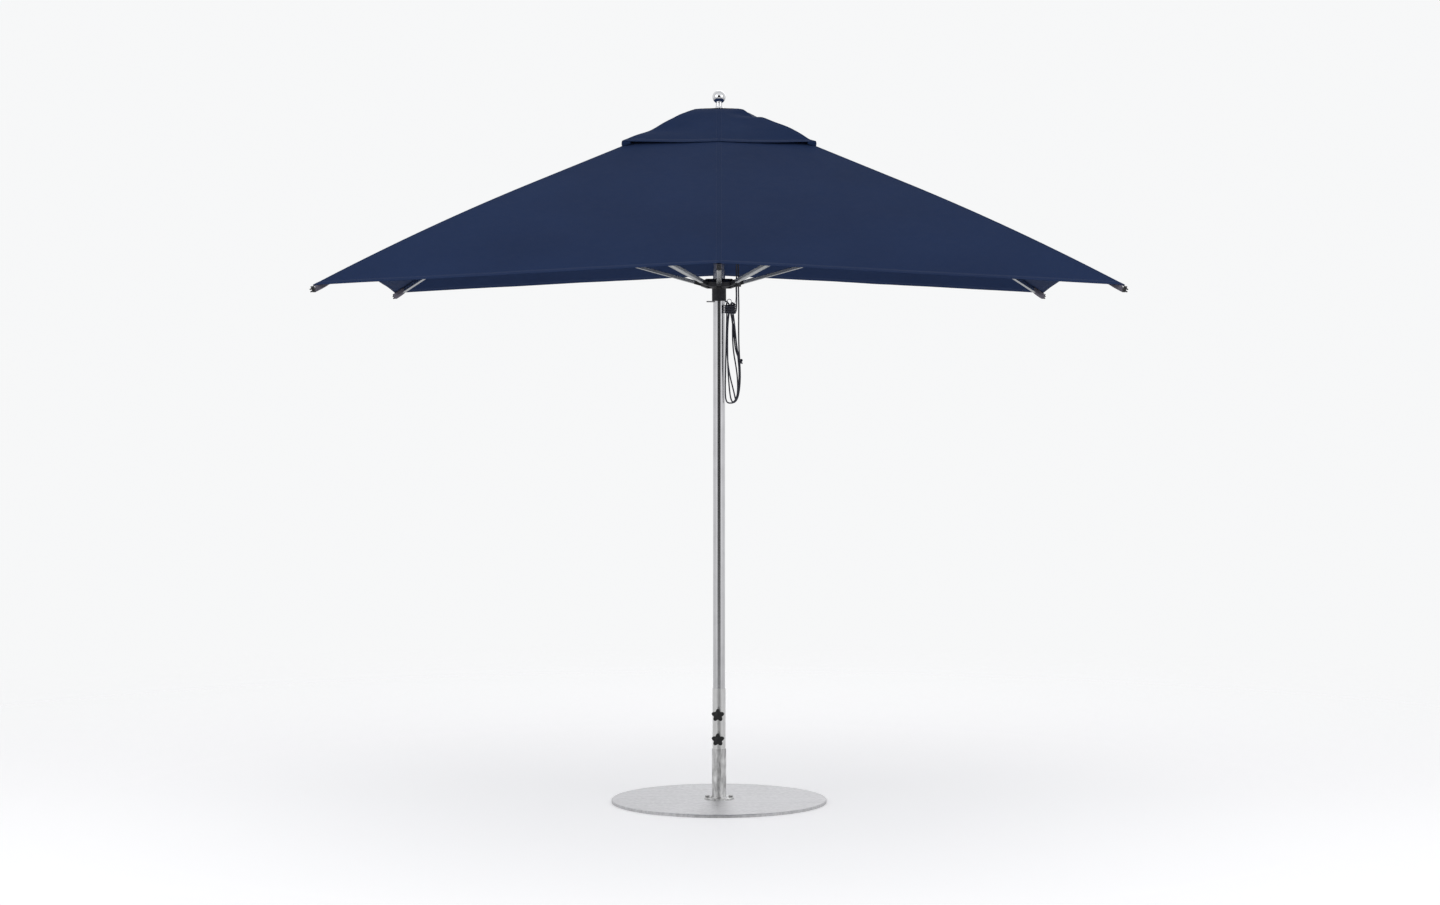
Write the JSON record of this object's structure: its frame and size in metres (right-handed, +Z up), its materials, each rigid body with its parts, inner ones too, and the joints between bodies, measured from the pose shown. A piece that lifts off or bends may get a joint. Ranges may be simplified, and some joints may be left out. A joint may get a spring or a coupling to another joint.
{
  "type": "patio umbrella with base",
  "caption": "Square market umbrella with a vented navy canopy, aluminium pole, rope pulley lift and pin lock, clamped in a round steel plate base.",
  "frame": {"origin": "middle of the underside of the round base plate, on the pole's axis", "axes": "+Z up along the pole; -Y towards the clamp knobs' side, which is the front; canopy sides along X and Y"},
  "size_m": [3.078, 3.078, 3.013],
  "materials": {
    "plate_steel": "brushed, clear coated",
    "stem_steel": "polished",
    "socket_steel": "brushed, worn",
    "bolt_steel": "zinc plated",
    "pin_steel": "stainless",
    "chain_steel": "bead chain",
    "pole_aluminium": "bright anodised",
    "rib_aluminium": "anodised extrusion",
    "finial_chrome": "mirror",
    "hub_resin": "glass filled nylon, fine grain",
    "fitting_resin": "nylon",
    "knob_resin": "moulded",
    "pulley_resin": "acetal",
    "bushing_nylon": "nylon",
    "lift_rope": "braided polyester",
    "canopy_fabric": "woven solution dyed acrylic"
  },
  "bodies": {
    "base": {"base_plate": "plate_steel", "stem_flange": "stem_steel", "flange_bolts": "bolt_steel", "stem_socket_tube": "socket_steel", "stem_sleeve": "stem_steel", "knob_nuts": "bolt_steel"},
    "mast": {"pole": "pole_aluminium", "pole_foot_plug": "hub_resin", "top_hub": "hub_resin", "rib_hinge_pins": "pin_steel", "hub_cap": "hub_resin", "vent_cap_top": "canopy_fabric", "finial": "finial_chrome", "finial_stud": "bolt_steel", "pulley_axle": "pin_steel", "rope_fall": "lift_rope"},
    "runner": {"runner_hub": "hub_resin", "runner_bushing": "bushing_nylon", "rope_drop": "lift_rope", "rope_hank": "lift_rope", "lock_pin_chain": "chain_steel"},
    "lock_pin": {"lock_pin": "pin_steel"},
    "pulley": {"hub_pulley": "pulley_resin"},
    "knob_lower": {"star_knob_lower": "knob_resin"},
    "knob_upper": {"star_knob_upper": "knob_resin"},
    "rib_1": {"rib_1": "rib_aluminium", "rib_fittings_1": "fitting_resin", "canopy_panel_1": "canopy_fabric"},
    "strut_1": {"strut_1": "rib_aluminium"},
    "rib_2": {"rib_2": "rib_aluminium", "rib_fittings_2": "fitting_resin", "canopy_panel_2": "canopy_fabric"},
    "strut_2": {"strut_2": "rib_aluminium"},
    "rib_3": {"rib_3": "rib_aluminium", "rib_fittings_3": "fitting_resin", "canopy_panel_3": "canopy_fabric"},
    "strut_3": {"strut_3": "rib_aluminium"},
    "rib_4": {"rib_4": "rib_aluminium", "rib_fittings_4": "fitting_resin", "canopy_panel_4": "canopy_fabric"},
    "strut_4": {"strut_4": "rib_aluminium"},
    "rib_5": {"rib_5": "rib_aluminium", "rib_fittings_5": "fitting_resin", "canopy_panel_5": "canopy_fabric"},
    "strut_5": {"strut_5": "rib_aluminium"},
    "rib_6": {"rib_6": "rib_aluminium", "rib_fittings_6": "fitting_resin", "canopy_panel_6": "canopy_fabric"},
    "strut_6": {"strut_6": "rib_aluminium"},
    "rib_7": {"rib_7": "rib_aluminium", "rib_fittings_7": "fitting_resin", "canopy_panel_7": "canopy_fabric"},
    "strut_7": {"strut_7": "rib_aluminium"},
    "rib_8": {"rib_8": "rib_aluminium", "rib_fittings_8": "fitting_resin", "canopy_panel_8": "canopy_fabric"},
    "strut_8": {"strut_8": "rib_aluminium"}
  },
  "joints": [
    {"name": "mast_lift", "type": "slide", "parent": "base", "child": "mast", "axis": [0, 0, 1], "range_m": [0, 0.42]},
    {"name": "runner_slide", "type": "slide", "parent": "mast", "child": "runner", "axis": [0, 0, 1], "range_m": [-1.33, 0], "deforming": ["rope_fall", "lock_pin"]},
    {"name": "lock_pin_pull", "type": "slide", "parent": "runner", "child": "lock_pin", "axis": [0.9239, 0.3827, 0], "range_m": [0, 0.085], "deforming": ["lock_pin_chain"]},
    {"name": "pulley_spin", "type": "hinge", "parent": "mast", "child": "pulley", "pos_m": [0.07761, -0.03215, 2.896], "axis": [0.9239, -0.3827, 0], "range_deg": [-6928.58, 0]},
    {"name": "knob_lower_turn", "type": "hinge", "parent": "base", "child": "knob_lower", "pos_m": [0, 0, 0.271], "axis": [-0.0872, -0.9962, 0], "continuous": true},
    {"name": "knob_upper_turn", "type": "hinge", "parent": "base", "child": "knob_upper", "pos_m": [0, 0, 0.375], "axis": [-0.0872, -0.9962, 0], "continuous": true},
    {"name": "rib_1_fold", "type": "hinge", "parent": "mast", "child": "rib_1", "pos_m": [0.06, 0, 2.908], "axis": [0, 1, 0], "range_deg": [0, 63.54], "deforming": ["canopy_panel_1"]},
    {"name": "strut_1_fold", "type": "hinge", "parent": "rib_1", "child": "strut_1", "pos_m": [1.01788, 0, 2.45943], "axis": [0, 1, 0], "range_deg": [-137.03, 0]},
    {"name": "rib_2_fold", "type": "hinge", "parent": "mast", "child": "rib_2", "pos_m": [0.04243, 0.04243, 2.908], "axis": [-0.7071, 0.7071, 0], "range_deg": [0, 69.06], "deforming": ["canopy_panel_2"]},
    {"name": "strut_2_fold", "type": "hinge", "parent": "rib_2", "child": "strut_2", "pos_m": [0.72234, 0.72234, 2.56532], "axis": [-0.7071, 0.7071, 0], "range_deg": [-136.99, 0]},
    {"name": "rib_3_fold", "type": "hinge", "parent": "mast", "child": "rib_3", "pos_m": [0, 0.06, 2.908], "axis": [-1, 0, 0], "range_deg": [0, 63.54], "deforming": ["canopy_panel_3"]},
    {"name": "strut_3_fold", "type": "hinge", "parent": "rib_3", "child": "strut_3", "pos_m": [0, 1.01788, 2.45943], "axis": [-1, 0, 0], "range_deg": [-137.03, 0]},
    {"name": "rib_4_fold", "type": "hinge", "parent": "mast", "child": "rib_4", "pos_m": [-0.04243, 0.04243, 2.908], "axis": [-0.7071, -0.7071, 0], "range_deg": [0, 69.06], "deforming": ["canopy_panel_4"]},
    {"name": "strut_4_fold", "type": "hinge", "parent": "rib_4", "child": "strut_4", "pos_m": [-0.72234, 0.72234, 2.56532], "axis": [-0.7071, -0.7071, 0], "range_deg": [-136.99, 0]},
    {"name": "rib_5_fold", "type": "hinge", "parent": "mast", "child": "rib_5", "pos_m": [-0.06, 0, 2.908], "axis": [0, -1, 0], "range_deg": [0, 63.54], "deforming": ["canopy_panel_5"]},
    {"name": "strut_5_fold", "type": "hinge", "parent": "rib_5", "child": "strut_5", "pos_m": [-1.01788, 0, 2.45943], "axis": [0, -1, 0], "range_deg": [-137.03, 0]},
    {"name": "rib_6_fold", "type": "hinge", "parent": "mast", "child": "rib_6", "pos_m": [-0.04243, -0.04243, 2.908], "axis": [0.7071, -0.7071, 0], "range_deg": [0, 69.06], "deforming": ["canopy_panel_6"]},
    {"name": "strut_6_fold", "type": "hinge", "parent": "rib_6", "child": "strut_6", "pos_m": [-0.72234, -0.72234, 2.56532], "axis": [0.7071, -0.7071, 0], "range_deg": [-136.99, 0]},
    {"name": "rib_7_fold", "type": "hinge", "parent": "mast", "child": "rib_7", "pos_m": [0, -0.06, 2.908], "axis": [1, 0, 0], "range_deg": [0, 63.54], "deforming": ["canopy_panel_7"]},
    {"name": "strut_7_fold", "type": "hinge", "parent": "rib_7", "child": "strut_7", "pos_m": [0, -1.01788, 2.45943], "axis": [1, 0, 0], "range_deg": [-137.03, 0]},
    {"name": "rib_8_fold", "type": "hinge", "parent": "mast", "child": "rib_8", "pos_m": [0.04243, -0.04243, 2.908], "axis": [0.7071, 0.7071, 0], "range_deg": [0, 69.06], "deforming": ["canopy_panel_8"]},
    {"name": "strut_8_fold", "type": "hinge", "parent": "rib_8", "child": "strut_8", "pos_m": [0.72234, -0.72234, 2.56532], "axis": [0.7071, 0.7071, 0], "range_deg": [-136.99, 0]}
  ],
  "couplings": [
    {"joint": "pulley_spin", "follows": "runner_slide", "rad_per_m": 90.909},
    {"joint": "rib_1_fold", "follows": "runner_slide", "rad_per_m": -0.83316},
    {"joint": "strut_1_fold", "follows": "runner_slide", "rad_per_m": 1.7975},
    {"joint": "rib_2_fold", "follows": "runner_slide", "rad_per_m": -0.90557},
    {"joint": "strut_2_fold", "follows": "runner_slide", "rad_per_m": 1.7971},
    {"joint": "rib_3_fold", "follows": "runner_slide", "rad_per_m": -0.83316},
    {"joint": "strut_3_fold", "follows": "runner_slide", "rad_per_m": 1.7975},
    {"joint": "rib_4_fold", "follows": "runner_slide", "rad_per_m": -0.90557},
    {"joint": "strut_4_fold", "follows": "runner_slide", "rad_per_m": 1.7971},
    {"joint": "rib_5_fold", "follows": "runner_slide", "rad_per_m": -0.83316},
    {"joint": "strut_5_fold", "follows": "runner_slide", "rad_per_m": 1.7975},
    {"joint": "rib_6_fold", "follows": "runner_slide", "rad_per_m": -0.90557},
    {"joint": "strut_6_fold", "follows": "runner_slide", "rad_per_m": 1.7971},
    {"joint": "rib_7_fold", "follows": "runner_slide", "rad_per_m": -0.83316},
    {"joint": "strut_7_fold", "follows": "runner_slide", "rad_per_m": 1.7975},
    {"joint": "rib_8_fold", "follows": "runner_slide", "rad_per_m": -0.90557},
    {"joint": "strut_8_fold", "follows": "runner_slide", "rad_per_m": 1.7971}
  ]
}
